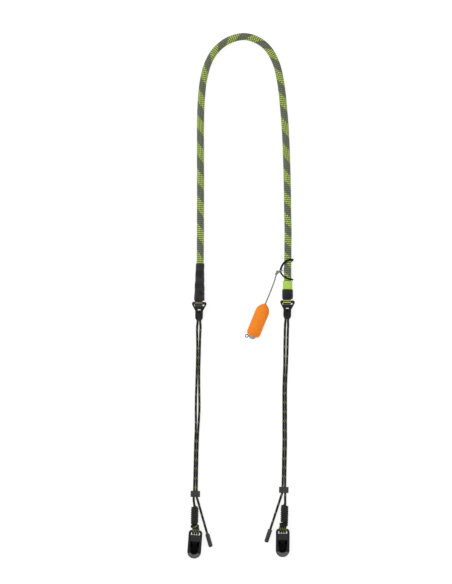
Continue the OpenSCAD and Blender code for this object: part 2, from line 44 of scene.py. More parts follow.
ROPE_R = 5.0
CORD_R = 1.65
AXIS_Z = 7.4
KNOT_R = 5.25
KNOT_TOP = 282.8
KNOT_FOOT = 310.0
LOCK_HALF = 4.1
BORE_Z = 2.8
STRAND_X = 1.7
SPREAD = 0.4
PIN_Y = -14.2
TURN_R = 2.55
RING_LENGTH = 24.8
RING_TILT = math.degrees(math.asin((AXIS_Z - 3.3) / RING_LENGTH))
TAIL_ANGLE = 17.0
TAIL_FOOT = 54.0
CORD_END_R = 3.0
LEG_LENGTH = 319.5
BIGHT_R = 3.25
BIGHT_GAP = 3.5

SIDES = {
    "left": {
        "bar": (-58.3, 150.95), "sleeve_turn": -1.2, "turn": -1.2, "clip_turn": -3.0,
        "knot_shift": -0.3, "clip_shift": 1.65, "collar_shift": -1.7, "lock": 267.5, "main": -1,
        "upper": {
            "main": [(0, 0.7, 34), (0, 0.4, 46), (0.2, 0.1, 60), (0.2, 0, 78), (0.1, 0, 96), (0.2, 0.2, 114),
                     (0.5, 0.7, 132), (0.9, 1, 148), (0.8, 0.5, 164), (0.4, 0, 180), (0.1, 0, 196)],
            "tail": [(0, 0.7, 34), (0, 0.4, 46), (0.2, 0.1, 60), (0.2, 0, 78), (0.1, 0, 96), (0.2, 0.3, 114),
                     (0.5, 0.6, 132), (0.9, 0.6, 148), (0.8, 0.3, 164), (0.4, 0, 180), (0.1, 0, 196)],
        },
    },
    "right": {
        "bar": (65.2, 153.0), "sleeve_turn": -0.4, "turn": -1.1, "clip_turn": 0.6,
        "knot_shift": 1.5, "clip_shift": -0.5, "collar_shift": 1.2, "lock": 263.9, "main": 1,
        "upper": {
            "main": [(-0.6, 0.5, 34), (-0.8, 0.5, 46), (-0.8, 0.5, 60), (-0.7, 0.3, 74), (-0.8, 0.1, 90),
                     (-1.2, 0, 106), (-1.4, 0, 124), (-1.1, 0, 142), (-0.7, 0, 160), (-0.4, 0, 178),
                     (0, 0, 196)],
            "tail": [(-0.6, 0.4, 34), (-0.8, 0.3, 46), (-0.8, 0.3, 60), (-0.7, 0.3, 74), (-0.8, 0.1, 90),
                     (-1.2, 0, 106), (-1.4, 0, 124), (-1.1, 0, 142), (-0.7, 0, 160), (-0.4, 0, 178),
                     (0, 0, 196)],
        },
    },
}

ROPE_MIDDLE = [
    (-56.9, 222, 1.7), (-56.7, 245, 0.6), (-56.7, 270, 0), (-56.6, 300, 0), (-56.6, 330, 0), (-56.7, 360, 0),
    (-56.7, 388, 0), (-56.4, 415, 0), (-55.2, 440, 0), (-52.5, 463, 0), (-46.5, 486, 0), (-35.5, 505, 0),
    (-18.5, 518.5, 0), (3, 524.5, 0), (23, 519.5, 0), (38.5, 507, 0), (49, 488, 0), (54.5, 467, 0),
    (57.8, 445, 0), (60.2, 420, 0), (62.2, 394, 0), (63.4, 368, 0), (64.3, 342, 0), (64.9, 318, 0.3),
    (65.2, 296, 1.2), (65.4, 274, 2.1),
]
HITCH_ROUTE = [
    (-10, 0.01, 1.2), (-10, 1.1, 1.2), (-9.3, 3.6, 2.2), (-7.6, 7.6, 3.4), (-4.7, 11.4, 5), (0, 14.2, 6.4),
    (4.8, 15.2, 4.6), (7, 15.2, 0), (4.9, 13.4, -4.6), (0, 9.4, -6.25), (-3.3, 4.9, -5.7), (-4.3, 1.6, -5.1),
    (-4.3, -1.6, -5.1), (-3.3, -4.8, -5.7), (0, -8.8, -6.25), (4.9, -11.6, -4.6), (7, -12.7, 0),
    (4.9, -12.4, 4.5), (1, -11.4, 6.4), (-3.2, -9.8, 5.7), (-6.7, -7.2, 3.8), (-9.3, -3.6, 2.2),
    (-10, -1.1, 1.2), (-10, -0.01, 1.2),
]
# The length of rope in which one of its carriers goes once round it.
BAND_LAY = 39.0
ROPE_CARRIERS = 14
# The length of a thinner cord in which one of its carriers goes once round it, and its carriers.
CORD_LAY = 13.0
CORD_CARRIERS = 8
# Where along the rope, from its left end, each lime band crosses its upper side.
BAND_CENTRES = [33, 72, 111, 148, 186, 224, 260, 295, 330, 363, 394,
                427, 461, 496, 532, 569, 604, 634, 663, 690, 718]
TETHER_ROUTE = [(49.9, 191.9, 8.3), (48.6, 187.8, 7.8), (46.5, 181, 7.4), (43.6, 173.2, 7.6),
                (40.6, 165.4, 8.5), (37.8, 158.8, 9.4)]
FLOAT_TIP = Vector((34.2, 150.0, 9.8))
FLOAT_TURN = -22.0
HITCH_ALONG = 43.5
TETHER_R = 1.0
TETHER_KNOT_R = 0.95
HITCH_FRONT_R = 1.45
HITCH_BACK_R = 1.15
BAR_R = 1.9
BAR_GAP = 0.2
TAPE_HALF_WIDTH = 5.5
TAPE_HALF_THICKNESS = 0.75

# --- Sizes of what the cords do, and of the picture's part of the floor ---

KNOT_WRAP_TURNS = 7.8
# The collar's turn of cord: its half width and half depth, and how far it falls in each 20 degrees.
COLLAR_HALF_WIDTH = 4.35
COLLAR_HALF_DEPTH = 3.35
COLLAR_FALL = 0.08
# The clip's socket, in the clip's own place.
SOCKET_HALF_WIDTH = 6.8
SOCKET_HALF_DEPTH = 4.7
SOCKET_TOP = -8.0
SOCKET_FOOT = -33.2
SOCKET_FRONT = 2.3
# The middle and the height of the picture, in metres.
VIEW_CENTRE = (-0.0209, 0.1666)
VIEW_HEIGHT = 0.8198


# --- Places ---

def turned_about_z(origin, degrees):
    return Matrix.Translation(Vector(origin)) @ Matrix.Rotation(math.radians(degrees), 4, "Z")


def in_sleeve(side):
    s = SIDES[side]
    return turned_about_z((*s["bar"], AXIS_Z), s["sleeve_turn"])


def in_leg(side):
    s = SIDES[side]
    return turned_about_z((*s["bar"], 0), s["turn"])


def in_ring(side):
    tilt = Matrix.Rotation(math.radians(RING_TILT), 4, "X")
    return in_leg(side) @ Matrix.Translation((0, 0, AXIS_Z)) @ tilt


def in_clip(side):
    s = SIDES[side]
    return in_leg(side) @ turned_about_z((s["clip_shift"], -LEG_LENGTH, KNOT_R), s["clip_turn"])


def in_float():
    return turned_about_z(FLOAT_TIP, FLOAT_TURN)


def placed(matrix, points):
    """Points given in millimetres in one piece's own place, as points of the row in metres."""
    return [(matrix @ Vector(p)) * MM for p in points]


# --- Lines ---

def curve_point(a, b, c, d, t):
    return (b + (c - a) * t / 2 + (2 * a - 5 * b + 4 * c - d) * t * t / 2
            + (3 * b - a - 3 * c + d) * t ** 3 / 2)


def smooth_line(points, step):
    """A smooth line through the points, with its own points evenly spaced about a step apart."""
    points = [Vector(p) for p in points]
    last = len(points) - 1
    dense = []
    for i in range(last):
        pieces = max(2, math.ceil((points[i + 1] - points[i]).length / step * 3))
        for k in range(pieces):
            dense.append(curve_point(points[max(i - 1, 0)], points[i], points[i + 1],
                                     points[min(i + 2, last)], k / pieces))
    dense.append(points[last])
    lengths = distances(dense)
    count = max(2, round(lengths[-1] / step))
    line = []
    i = 0
    for k in range(count + 1):
        target = lengths[-1] * k / count
        while i < len(dense) - 2 and lengths[i + 1] < target:
            i += 1
        share = (target - lengths[i]) / max(lengths[i + 1] - lengths[i], 1e-9)
        line.append(dense[i].lerp(dense[i + 1], min(max(share, 0), 1)))
    return line


def distances(line):
    total = [0.0]
    for a, b in zip(line, line[1:]):
        total.append(total[-1] + (b - a).length)
    return total


def frames_along(line, first_up):
    """Place matrices along the line: X and Y across it, carried without twist, and Z along it."""
    frames = []
    up = Vector(first_up)
    last = len(line) - 1
    for i, point in enumerate(line):
        ahead = (line[min(i + 1, last)] - line[max(i - 1, 0)]).normalized()
        up = (up - up.dot(ahead) * ahead).normalized()
        across = up.cross(ahead)
        matrix = Matrix((across, up, ahead)).transposed().to_4x4()
        matrix.translation = point
        frames.append(matrix)
    return frames


# --- Meshes ---

def finished(name, bm, material, body):
    """Turns a bmesh into a piece at the origin that rides on a body."""
    mesh = bpy.data.meshes.new(name)
    for face in bm.faces:
        face.smooth = True
    bm.to_mesh(mesh)
    bm.free()
    mesh.materials.append(material)
    piece = bpy.data.objects.new(name, mesh)
    bpy.context.scene.collection.objects.link(piece)
    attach(piece, body)
    return piece


def swept(line, section, sides, size, lay=None, first_up=(0, 0, 1), twist=None):
    """A tube swept along the line by extruding its first ring. section gives the outline's point at an
    angle, and size its scale at each ring. The turn round the tube and the lay along it become UVs."""
    bm = bmesh.new()
    side_of = bm.verts.layers.int.new("side")
    ring_of = bm.verts.layers.int.new("ring")
    circle = bmesh.ops.create_circle(bm, cap_ends=False, segments=sides, radius=1)["verts"]
    for i, vert in enumerate(circle):
        vert[side_of] = i
    frames = frames_along(line, first_up)
    lay = lay or distances(line)
    edges = list(bm.edges)
    first_edges = edges
    verts = circle
    for k, matrix in enumerate(frames):
        if k:
            grown = bmesh.ops.extrude_edge_only(bm, edges=edges)["geom"]
            verts = [g for g in grown if isinstance(g, bmesh.types.BMVert)]
            fresh = set(verts)
            edges = [g for g in grown if isinstance(g, bmesh.types.BMEdge) and set(g.verts) <= fresh]
        for vert in verts:
            vert[ring_of] = k
            across, up = section(2 * math.pi * vert[side_of] / sides)
            width, height = size(k)
            vert.co = matrix @ Vector((across * width, up * height, 0))
    bmesh.ops.edgeloop_fill(bm, edges=first_edges)
    bmesh.ops.edgeloop_fill(bm, edges=edges)
    bmesh.ops.recalc_face_normals(bm, faces=bm.faces)
    layer = bm.loops.layers.uv.new("lay")
    for face in bm.faces:
        indices = [v[side_of] for v in face.verts]
        wraps = len(face.verts) == 4 and max(indices) - min(indices) > sides / 2
        for loop in face.loops:
            side = loop.vert[side_of]
            if wraps and side == 0:
                side = sides
            ring = loop.vert[ring_of]
            loop[layer].uv = (side / sides + (twist[ring] if twist else 0), lay[ring])
    return bm


def round_section(angle):
    return math.cos(angle), math.sin(angle)


def flat_section(angle):
    """A rectangle with well rounded corners."""
    c, s = math.cos(angle), math.sin(angle)
    return (math.copysign(abs(c) ** 0.45, c), math.copysign(abs(s) ** 0.45, s))


def cord_piece(name, line, radius, material, body, node, sides, lay=None, first_up=(0, 0, 1),
               twist=None):
    radii = radius if callable(radius) else (lambda k: radius)
    bm = swept(line, round_section, sides, lambda k: (radii(k), radii(k)), lay, first_up, twist)
    piece = finished(name, bm, material, body)
    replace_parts(piece, node)
    return piece


def turned_piece(name, matrix, profile, material, body, node, segments, wrinkle, seed):
    """A round piece along its place's -Y axis, from (distance, radius) pairs in millimetres."""
    line = [matrix @ Vector((0, -d, 0)) * MM for d, _ in profile]
    ahead = (line[-1] - line[0]).normalized()
    bm = swept([line[0] + ahead * (d - profile[0][0]) * MM for d, _ in profile], round_section, segments,
               lambda k: (profile[k][1] * MM, profile[k][1] * MM))
    for vert in bm.verts:
        here = vert.co * 160 + Vector((seed, 0, 0))
        axis = line[0] + ahead * (vert.co - line[0]).dot(ahead)
        out = vert.co - axis
        if out.length > 0.5 * MM:
            vert.co += out.normalized() * noise.noise(here) * wrinkle * MM
    piece = finished(name, bm, material, body)
    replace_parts(piece, node)
    return piece


def softened(node, name, material, body, width, segments=3):
    """The CAD piece's own shape with its hard edges rounded off."""
    bm = bmesh.new()
    bm.from_mesh(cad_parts[node].data)
    bmesh.ops.remove_doubles(bm, verts=bm.verts, dist=0.00001)
    bmesh.ops.dissolve_limit(bm, angle_limit=math.radians(1), verts=bm.verts, edges=bm.edges,
                             use_dissolve_boundaries=False)
    piece = finished(name, bm, material, body)
    bevel = piece.modifiers.new("rounded edges", "BEVEL")
    bevel.width = width * MM
    bevel.segments = segments
    bevel.limit_method = "ANGLE"
    bevel.angle_limit = math.radians(32)
    bevel.use_clamp_overlap = True
    bevel.harden_normals = True
    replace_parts(piece, node)
    return piece


# --- Material nodes ---

def feed(tree, socket, value):
    if isinstance(value, bpy.types.NodeSocket):
        tree.links.new(value, socket)
    else:
        socket.default_value = value


def maths(tree, operation, *values):
    node = tree.nodes.new("ShaderNodeMath")
    node.operation = operation
    for socket, value in zip(node.inputs, values):
        feed(tree, socket, value)
    return node.outputs[0]


def mixed(tree, mask, low, high):
    node = tree.nodes.new("ShaderNodeMix")
    node.data_type = "RGBA"
    feed(tree, node.inputs[0], mask)
    feed(tree, node.inputs[6], low)
    feed(tree, node.inputs[7], high)
    return node.outputs[2]


def ranged(tree, value, low, high, out_low, out_high):
    node = tree.nodes.new("ShaderNodeMapRange")
    for socket, v in zip(node.inputs, (value, low, high, out_low, out_high)):
        feed(tree, socket, v)
    return node.outputs[0]


def speckle(tree, place, scale, detail=3.0, roughness=0.55):
    node = tree.nodes.new("ShaderNodeTexNoise")
    feed(tree, node.inputs["Vector"], place)
    node.inputs["Scale"].default_value = scale
    node.inputs["Detail"].default_value = detail
    node.inputs["Roughness"].default_value = roughness
    return node.outputs["Fac"]


def rgb(red, green, blue):
    """A linear colour from one as seen, 0 to 255."""
    def linear(v):
        v /= 255
        return v / 12.92 if v <= 0.04045 else ((v + 0.055) / 1.055) ** 2.4
    return (linear(red), linear(green), linear(blue), 1)


def new_group(name, inputs, outputs):
    group = bpy.data.node_groups.new(name, "ShaderNodeTree")
    for label, kind, default in inputs:
        socket = group.interface.new_socket(label, in_out="INPUT", socket_type=kind)
        if default is not None:
            socket.default_value = default
    for label, kind in outputs:
        group.interface.new_socket(label, in_out="OUTPUT", socket_type=kind)
    return group, group.nodes.new("NodeGroupInput"), group.nodes.new("NodeGroupOutput")


def make_braid():
    """Yarn carriers plaited round a cord. One set keeps one value of turn + lay all along the cord."""
    tree, given, out = new_group(
        "plaited yarns",
        [("Turn", "NodeSocketFloat", 0.0), ("Lay", "NodeSocketFloat", 0.0),
         ("Carriers", "NodeSocketFloat", 16.0)],
        [("Height", "NodeSocketFloat"), ("Over", "NodeSocketFloat"), ("Carrier", "NodeSocketFloat"),
         ("Gap", "NodeSocketFloat")])
    turn, lay, carriers = given.outputs[0], given.outputs[1], given.outputs[2]
    a = maths(tree, "MULTIPLY", maths(tree, "ADD", turn, lay), carriers)
    b = maths(tree, "MULTIPLY", maths(tree, "SUBTRACT", turn, lay), carriers)
    cells = maths(tree, "ADD", maths(tree, "FLOOR", a), maths(tree, "FLOOR", b))
    over = maths(tree, "GREATER_THAN", maths(tree, "FRACT", maths(tree, "MULTIPLY", cells, 0.5)), 0.25)
    part_a, part_b = maths(tree, "FRACT", a), maths(tree, "FRACT", b)
    round_a = maths(tree, "SINE", maths(tree, "MULTIPLY", part_a, math.pi))
    round_b = maths(tree, "SINE", maths(tree, "MULTIPLY", part_b, math.pi))
    pillow = maths(tree, "POWER", maths(tree, "MULTIPLY", round_a, round_b), 0.6)
    along = tree.nodes.new("ShaderNodeMix")
    feed(tree, along.inputs[0], over)
    feed(tree, along.inputs[2], part_b)
    feed(tree, along.inputs[3], part_a)
    threads = maths(tree, "SINE", maths(tree, "MULTIPLY", along.outputs[0], math.pi * 8))
    height = maths(tree, "ADD", pillow, maths(tree, "MULTIPLY", threads, 0.06))
    carrier = maths(tree, "FRACT", maths(tree, "DIVIDE", maths(tree, "FLOOR", a), carriers))
    gap = ranged(tree, pillow, 0.15, 0.75, 1.0, 0.0)
    for socket, value in zip(out.inputs, (height, over, carrier, gap)):
        feed(tree, socket, value)
    return tree


def make_wear():
    """Handling marks and dust: a broad patchiness with fine specks."""
    tree, given, out = new_group(
        "handling marks", [("Place", "NodeSocketVector", None), ("Amount", "NodeSocketFloat", 0.5)],
        [("Mask", "NodeSocketFloat"), ("Fine", "NodeSocketFloat")])
    broad = speckle(tree, given.outputs[0], 90.0)
    fine = speckle(tree, given.outputs[0], 900.0, 4.0, 0.7)
    both = maths(tree, "ADD", maths(tree, "MULTIPLY", broad, 0.6), maths(tree, "MULTIPLY", fine, 0.4))
    patches = ranged(tree, both, 0.42, 0.66, 0.0, 1.0)
    feed(tree, out.inputs[0], maths(tree, "MULTIPLY", patches, given.outputs[1]))
    feed(tree, out.inputs[1], fine)
    return tree


BRAID = make_braid()
WEAR = make_wear()


def new_material(name):
    material = bpy.data.materials.new(name)
    material.use_nodes = True
    tree = material.node_tree
    return material, tree, tree.nodes["Principled BSDF"]


def object_place(tree):
    return tree.nodes.new("ShaderNodeTexCoord").outputs["Object"]


def lay_of(tree):
    uv = tree.nodes.new("ShaderNodeUVMap")
    uv.uv_map = "lay"
    parts = tree.nodes.new("ShaderNodeSeparateXYZ")
    feed(tree, parts.inputs[0], uv.outputs[0])
    return parts.outputs[0], parts.outputs[1]


def worn(tree, place, amount):
    node = tree.nodes.new("ShaderNodeGroup")
    node.node_tree = WEAR
    feed(tree, node.inputs[0], place)
    node.inputs[1].default_value = amount
    return node.outputs[0], node.outputs[1]


def bump(tree, shader, height, distance):
    node = tree.nodes.new("ShaderNodeBump")
    node.inputs["Strength"].default_value = 1.0
    node.inputs["Distance"].default_value = distance * MM
    feed(tree, node.inputs["Height"], height)
    tree.links.new(node.outputs[0], shader.inputs["Normal"])


def plaited(tree, lay_per_unit, carriers):
    turn, along = lay_of(tree)
    node = tree.nodes.new("ShaderNodeGroup")
    node.node_tree = BRAID
    feed(tree, node.inputs[0], turn)
    feed(tree, node.inputs[1], maths(tree, "MULTIPLY", along, lay_per_unit))
    node.inputs[2].default_value = carriers
    return node.outputs


def fabric_sheen(shader, weight, tint=(1, 1, 1, 1)):
    shader.inputs["Sheen Weight"].default_value = weight
    shader.inputs["Sheen Roughness"].default_value = 0.5
    shader.inputs["Sheen Tint"].default_value = tint


def braided_finish(name, plain, plain_shaded, band, band_shaded, band_share, carriers, lay_per_unit,
                   depth, sheen=0.1, dust=0.12):
    """A plaited cord with one coil of carriers in a second colour. In the cells where the other crossing set of
    yarns lies on top, each colour is swapped for a darker copy of itself as painted shade.
    """
    material, tree, shader = new_material(name)
    height, over, carrier, gap = plaited(tree, lay_per_unit, carriers)[:4]
    in_band = maths(tree, "LESS_THAN", carrier, band_share)
    # painted shade: where the over flag is off, the yarn is drawn in a shaded copy of its own colour
    base = mixed(tree, over, plain_shaded, plain)
    coloured = mixed(tree, over, band_shaded, band)
    colour = mixed(tree, in_band, base, coloured)
    place = object_place(tree)
    mask, fine = worn(tree, place, 0.35)
    # painted shade in the gaps between the yarns
    shaded = mixed(tree, maths(tree, "MULTIPLY", gap, 0.45), colour, (0.01, 0.012, 0.008, 1))
    dusty = mixed(tree, maths(tree, "MULTIPLY", mask, dust), shaded, (0.4, 0.4, 0.36, 1))
    feed(tree, shader.inputs["Base Color"], dusty)
    feed(tree, shader.inputs["Roughness"], ranged(tree, fine, 0.3, 0.7, 0.72, 0.92))
    bump(tree, shader, height, depth)
    fabric_sheen(shader, sheen)
    shader.inputs["Specular IOR Level"].default_value = 0.2
    return material


def moulded_finish(name, colour, worn_colour, rough_low, rough_high, grain, depth, coat=0.0,
                   specular=0.5):
    """Moulded plastic with a fine spark-eroded grain and rubbed patches."""
    material, tree, shader = new_material(name)
    place = object_place(tree)
    mask = worn(tree, place, 0.5)[0]
    feed(tree, shader.inputs["Base Color"], mixed(tree, mask, colour, worn_colour))
    feed(tree, shader.inputs["Roughness"], ranged(tree, mask, 0.0, 1.0, rough_low, rough_high))
    bump(tree, shader, speckle(tree, place, grain, 2.0), depth)
    shader.inputs["Coat Weight"].default_value = coat
    shader.inputs["Coat Roughness"].default_value = 0.12
    shader.inputs["Specular IOR Level"].default_value = specular
    return material


def make_sleeve_finish(name, colour, light, rib, weave):
    """Shrunk or woven sleeve: fine rings round it, crossed by threads, with scuffed patches."""
    material, tree, shader = new_material(name)
    turn, along = lay_of(tree)
    place = object_place(tree)
    mask, fine = worn(tree, place, 0.8)
    rings = maths(tree, "SINE", maths(tree, "MULTIPLY", along, 2 * math.pi / (rib * MM)))
    threads = maths(tree, "SINE", maths(tree, "MULTIPLY", turn, 2 * math.pi * weave))
    cloth = maths(tree, "MULTIPLY", rings, threads)
    height = maths(tree, "ADD", maths(tree, "MULTIPLY", cloth, 0.5), maths(tree, "MULTIPLY", fine, 0.9))
    feed(tree, shader.inputs["Base Color"], mixed(tree, mask, colour, light))
    feed(tree, shader.inputs["Roughness"], ranged(tree, fine, 0.3, 0.7, 0.55, 0.8))
    bump(tree, shader, height, 0.2)
    fabric_sheen(shader, 0.03)
    shader.inputs["Specular IOR Level"].default_value = 0.25
    return material


def make_band_finish():
    """Neon thread wound round the rope in close turns, under a clear lacquer; each turn is drawn darker towards
    its edges as painted shade in the grooves between turns.
    """
    material, tree, shader = new_material("neon whipping")
    turn, along = lay_of(tree)
    place = object_place(tree)
    mask, fine = worn(tree, place, 0.5)
    pitch = maths(tree, "ADD", maths(tree, "DIVIDE", along, 0.55 * MM), turn)
    thread = maths(tree, "SINE", maths(tree, "MULTIPLY", maths(tree, "FRACT", pitch), math.pi))
    # painted shade: each turn of thread is drawn darker towards its edges, in the grooves between the turns
    tone = ranged(tree, thread, 0.0, 0.6, 0.0, 1.0)
    wound = mixed(tree, tone, rgb(150, 192, 58), rgb(190, 228, 92))
    scuffed = mixed(tree, maths(tree, "MULTIPLY", mask, 0.4), wound, rgb(205, 236, 135))
    feed(tree, shader.inputs["Base Color"], scuffed)
    feed(tree, shader.inputs["Roughness"], ranged(tree, fine, 0.3, 0.7, 0.45, 0.7))
    bump(tree, shader, maths(tree, "ADD", thread, maths(tree, "MULTIPLY", fine, 0.5)), 0.1)
    fabric_sheen(shader, 0.1)
    return material


def make_tape_finish(name, stripe, shaded_ground, stripes, half_width):
    """The rope's flattened sheath, ribbed by its yarns. Its ground colour is painted shade over the whole tape,
    its bands show as stripes of full colour in light only at given places near the ring's bar, and the dips
    between its ribs are painted darker still as shade.
    """
    material, tree, shader = new_material(name)
    turn, along = lay_of(tree)
    place = object_place(tree)
    mask, fine = worn(tree, place, 0.4)
    parts = tree.nodes.new("ShaderNodeSeparateXYZ")
    feed(tree, parts.inputs[0], place)
    uneven = maths(tree, "MULTIPLY", maths(tree, "SUBTRACT", fine, 0.5), 0.6 * MM)
    wave = maths(tree, "ADD", parts.outputs[1], uneven)
    in_stripe = 0.0
    for y in stripes:
        here = maths(tree, "COMPARE", wave, y * MM, half_width * MM)
        in_stripe = maths(tree, "MAXIMUM", here, in_stripe)
    yarns = maths(tree, "SINE", maths(tree, "MULTIPLY", turn, 2 * math.pi * 22))
    rows = maths(tree, "SINE", maths(tree, "MULTIPLY", along, 2 * math.pi / (0.9 * MM)))
    cloth = maths(tree, "MULTIPLY", yarns, rows)
    # painted shade: the whole tape takes the shaded ground colour, save the stripes of band colour in light
    # near the bar
    tone = mixed(tree, in_stripe, shaded_ground, stripe)
    shade = maths(tree, "MULTIPLY", ranged(tree, cloth, -1.0, 0.2, 1.0, 0.0), 0.35)
    feed(tree, shader.inputs["Base Color"], mixed(tree, shade, tone, (0.01, 0.015, 0.005, 1)))
    feed(tree, shader.inputs["Roughness"], ranged(tree, mask, 0.0, 1.0, 0.7, 0.9))
    bump(tree, shader, cloth, 0.15)
    fabric_sheen(shader, 0.1)
    return material


def make_foam_finish():
    """Closed-cell orange foam with a soft skin: fine cells, a few pits and rubbed lighter places."""
    material, tree, shader = new_material("orange foam")
    place = object_place(tree)
    mask, fine = worn(tree, place, 0.8)
    cells = tree.nodes.new("ShaderNodeTexVoronoi")
    feed(tree, cells.inputs["Vector"], place)
    cells.inputs["Scale"].default_value = 1500
    broad = speckle(tree, place, 60.0, 2.0)
    tone = mixed(tree, ranged(tree, broad, 0.35, 0.65, 0.0, 1.0), rgb(254, 134, 12), rgb(255, 142, 18))
    rubbed = mixed(tree, maths(tree, "MULTIPLY", mask, 0.3), tone, rgb(250, 150, 56))
    feed(tree, shader.inputs["Base Color"], rubbed)
    feed(tree, shader.inputs["Roughness"], ranged(tree, fine, 0.3, 0.7, 0.5, 0.68))
    height = maths(tree, "ADD", maths(tree, "MULTIPLY", cells.outputs["Distance"], 0.7), fine)
    bump(tree, shader, height, 0.1)
    fabric_sheen(shader, 0.08, rgb(255, 180, 110))
    shader.inputs["Specular IOR Level"].default_value = 0.3
    return material


def make_steel_finish():
    material, tree, shader = new_material("very dark steel")
    place = object_place(tree)
    mask, fine = worn(tree, place, 0.6)
    # The pins' steel is given a very dark colour.
    shader.inputs["Metallic"].default_value = 1.0
    feed(tree, shader.inputs["Base Color"], mixed(tree, mask, (0.05, 0.05, 0.05, 1), (0.09, 0.09, 0.09, 1)))
    feed(tree, shader.inputs["Roughness"], ranged(tree, fine, 0.3, 0.7, 0.25, 0.42))
    bump(tree, shader, fine, 0.02)
    return material


# Each braid's second and fourth colours are darker copies of its first and third: painted shade.
rope_finish = braided_finish(
    "olive rope braid", rgb(134, 140, 120), rgb(92, 99, 80), rgb(214, 236, 122), rgb(84, 106, 40),
    0.43, ROPE_CARRIERS, 1.0, 0.45)
cord_finish = braided_finish(
    "black leg cord braid", rgb(42, 44, 37), rgb(30, 32, 25), rgb(172, 184, 104), rgb(30, 32, 25),
    0.1, CORD_CARRIERS, 1 / (CORD_LAY * MM), 0.22, 0.04, 0.05)
# painted highlight: the knot's cord is the leg cord's black braid drawn lighter, for the light on its turns
knot_lit_finish = braided_finish(
    "black knot cord braid in painted light", rgb(50, 51, 49), rgb(30, 31, 29), rgb(64, 66, 54), rgb(30, 31, 29),
    0.1, CORD_CARRIERS, 1 / (CORD_LAY * MM), 0.25, 0.04, 0.05)
# painted shade: the cord's turns at the ring and the clip are the leg cord's black braid drawn darker
shaded_cord_finish = braided_finish(
    "black cord braid in painted shade", rgb(36, 38, 32), rgb(22, 24, 18), rgb(140, 150, 84), rgb(22, 24, 18),
    0.14, CORD_CARRIERS, 1 / (CORD_LAY * MM), 0.25, 0.04, 0.05)
hitch_finish = braided_finish(
    "black elastic braid", rgb(26, 26, 25), rgb(16, 16, 16), rgb(26, 26, 25), rgb(16, 16, 16),
    0.1, 6, 1 / (8 * MM), 0.15, 0.03, 0.05)
tether_finish = braided_finish(
    "grey tether braid", rgb(186, 185, 182), rgb(140, 139, 136), rgb(192, 191, 188), rgb(140, 139, 136),
    0.1, 6, 1 / (6 * MM), 0.15)
shrink_finish = make_sleeve_finish("black shrink sleeve", rgb(30, 30, 30), rgb(66, 66, 66), 0.9, 60)
textile_finish = make_sleeve_finish("black textile sleeve", rgb(27, 28, 30), rgb(52, 53, 56), 0.8, 60)
band_finish = make_band_finish()
# The second colour of each rope end is the painted shade over the tape.
neon_tape_finish = make_tape_finish("neon rope end", rgb(226, 240, 118), rgb(24, 30, 12), (154.85, 152.15), 0.6)
khaki_tape_finish = make_tape_finish("khaki rope end", rgb(136, 134, 98), rgb(40, 46, 26), (151.4,), 1.05)
ring_finish = moulded_finish("black moulded ring", rgb(20, 20, 20), rgb(40, 40, 40), 0.3, 0.5, 1400, 0.03)
lock_finish = moulded_finish("dark grey moulded lock", rgb(46, 46, 46), rgb(70, 70, 70), 0.5, 0.72, 1100, 0.05)
end_finish = moulded_finish("dark grey cord end", rgb(46, 46, 46), rgb(70, 70, 70), 0.5, 0.7, 1200, 0.04)
shell_finish = moulded_finish("glossy black clip", rgb(20, 20, 20), rgb(40, 40, 40), 0.2, 0.38, 1600, 0.012,
                              coat=0.6)
# painted shade: the clip's socket is drawn near black
socket_shade_finish = moulded_finish("painted shade in clip socket", rgb(2, 2, 2), rgb(6, 6, 6), 0.6, 0.8, 1600, 0.02,
                               specular=0.1)
plate_finish = moulded_finish("grey clip plate", rgb(34, 34, 34), rgb(44, 44, 44), 0.42, 0.6, 1500, 0.03,
                              specular=0.4)
# painted shade: the tongue, inside the clip's socket, is drawn far darker than the black shell
tongue_shade_finish = moulded_finish("black clip tongue in painted shade", rgb(4, 4, 4), rgb(9, 9, 9), 0.4, 0.55, 1500, 0.02,
                               specular=0.15)
cap_finish = moulded_finish("blue-grey float cap", rgb(150, 165, 172), rgb(184, 190, 192), 0.45, 0.65, 1200,
                            0.03)
foam_finish = make_foam_finish()
steel_finish = make_steel_finish()


# --- Camera, light and floor ---

def make_camera():
    data = bpy.data.cameras.new("camera")
    data.lens = 110
    data.sensor_width = 36
    camera = bpy.data.objects.new("camera", data)
    bpy.context.scene.collection.objects.link(camera)
    camera.location = (*VIEW_CENTRE, VIEW_HEIGHT * data.lens / data.sensor_width)
    bpy.context.scene.camera = camera


def make_light(name, place, size, energy):
    data = bpy.data.lights.new(name, "AREA")
    data.shape = "RECTANGLE"
    data.size, data.size_y = size
    data.energy = energy
    light = bpy.data.objects.new(name, data)
    light.location = place
    aim = Vector((0, 0.16, 0)) - Vector(place)
    light.rotation_euler = aim.to_track_quat("-Z", "Y").to_euler()
    bpy.context.scene.collection.objects.link(light)


